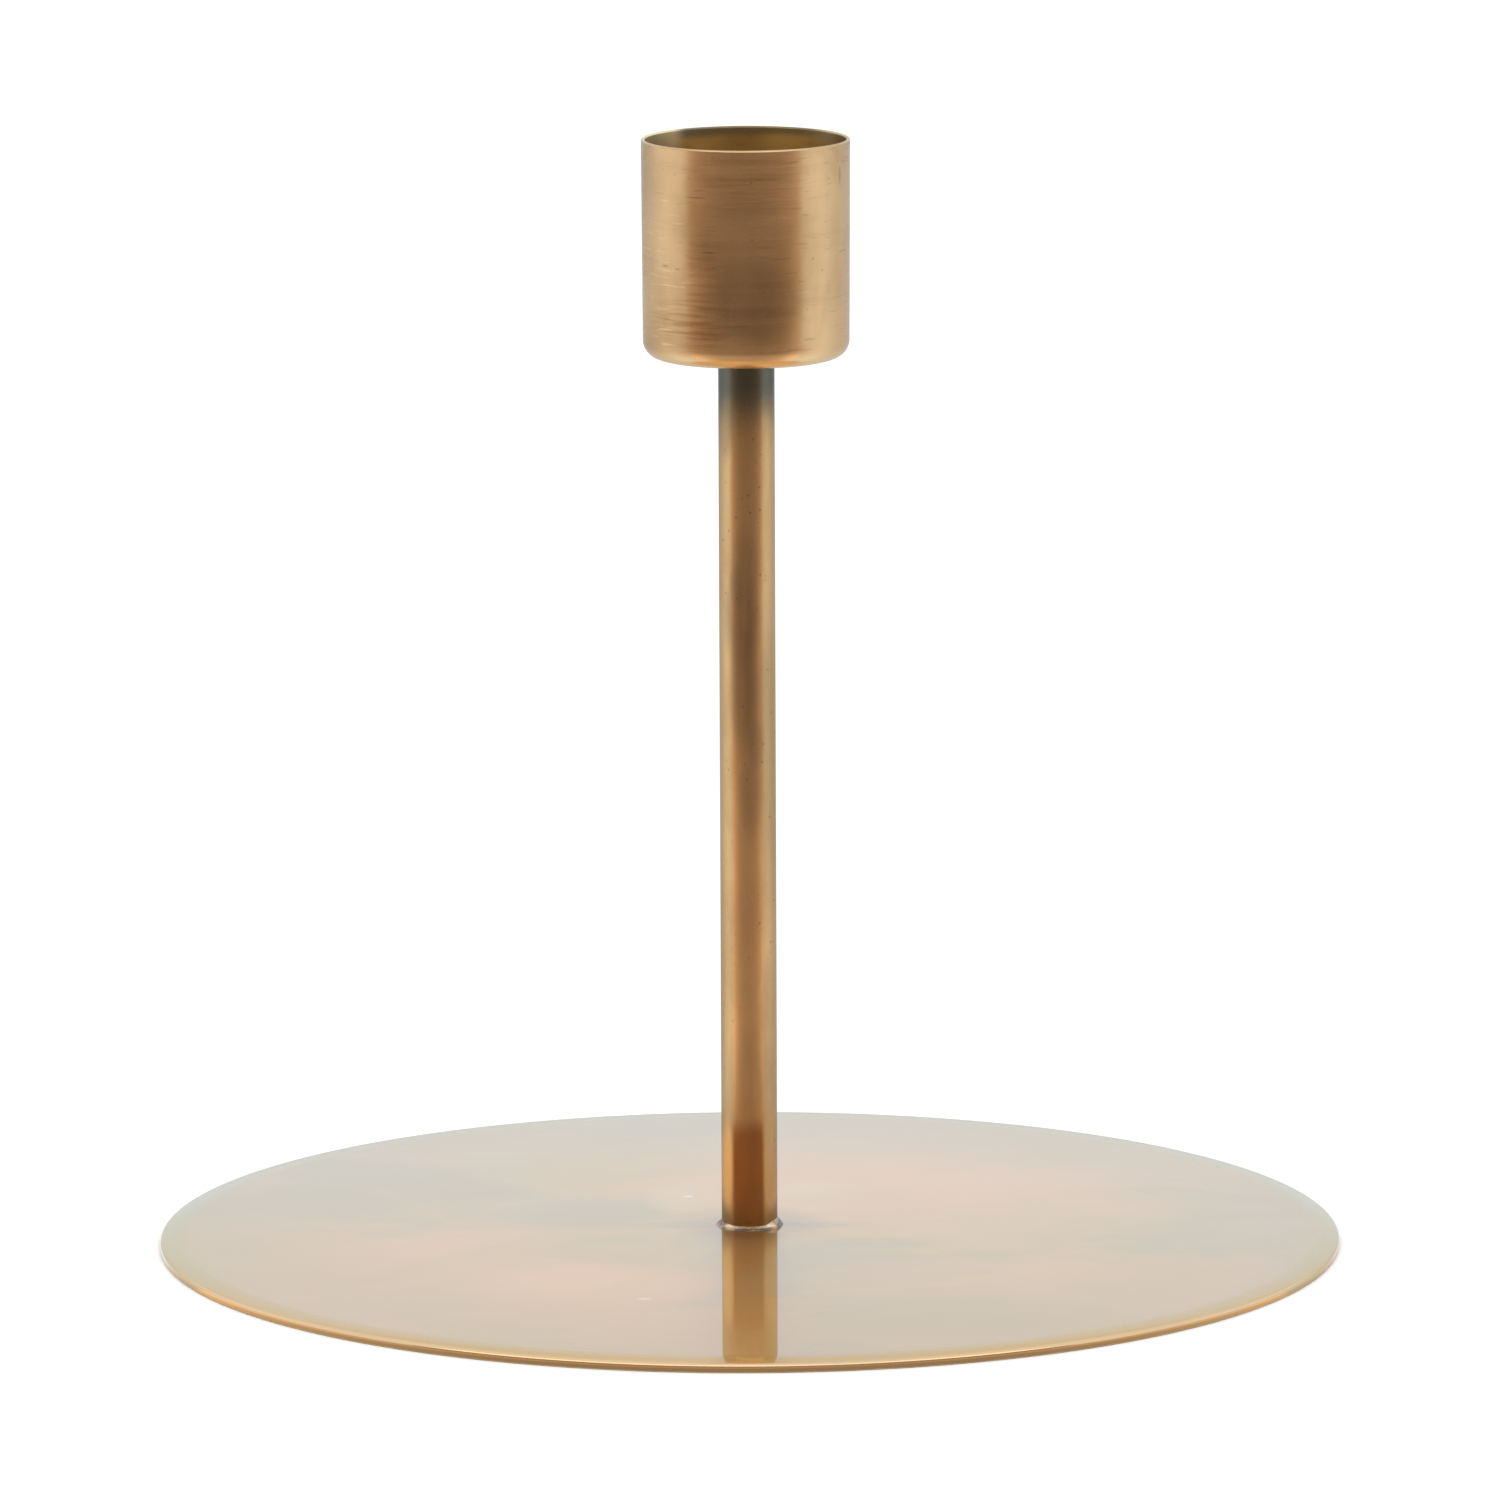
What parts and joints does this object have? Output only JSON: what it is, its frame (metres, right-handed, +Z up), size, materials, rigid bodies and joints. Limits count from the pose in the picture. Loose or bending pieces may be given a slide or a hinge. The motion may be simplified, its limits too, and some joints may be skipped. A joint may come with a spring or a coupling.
{
  "type": "candle holder",
  "caption": "Slim upright holder for one dinner candle: a thin round foot disc, a straight stem and a thin drawn cup, brazed together.",
  "frame": {"origin": "on the stem's axis, at the surface that the foot disc stands on", "axes": "+Z up along the stem; +X to the right and +Y away from the viewer; round about +Z"},
  "size_m": [0.134, 0.134, 0.1262],
  "materials": {
    "disc_brass": "polished, clouded with age",
    "stem_brass": "fine satin, mottled brown patina, dark heat tint at both ends",
    "cup_brass": "turned satin with fine rings and small scratches, brown patina",
    "braze": "rough as-brazed bead with grey oxide"
  },
  "bodies": {
    "root": {"base_disc": "disc_brass", "stem_rod": "stem_brass", "candle_cup": "cup_brass", "foot_braze": "braze", "cup_braze": "braze"}
  },
  "joints": []
}
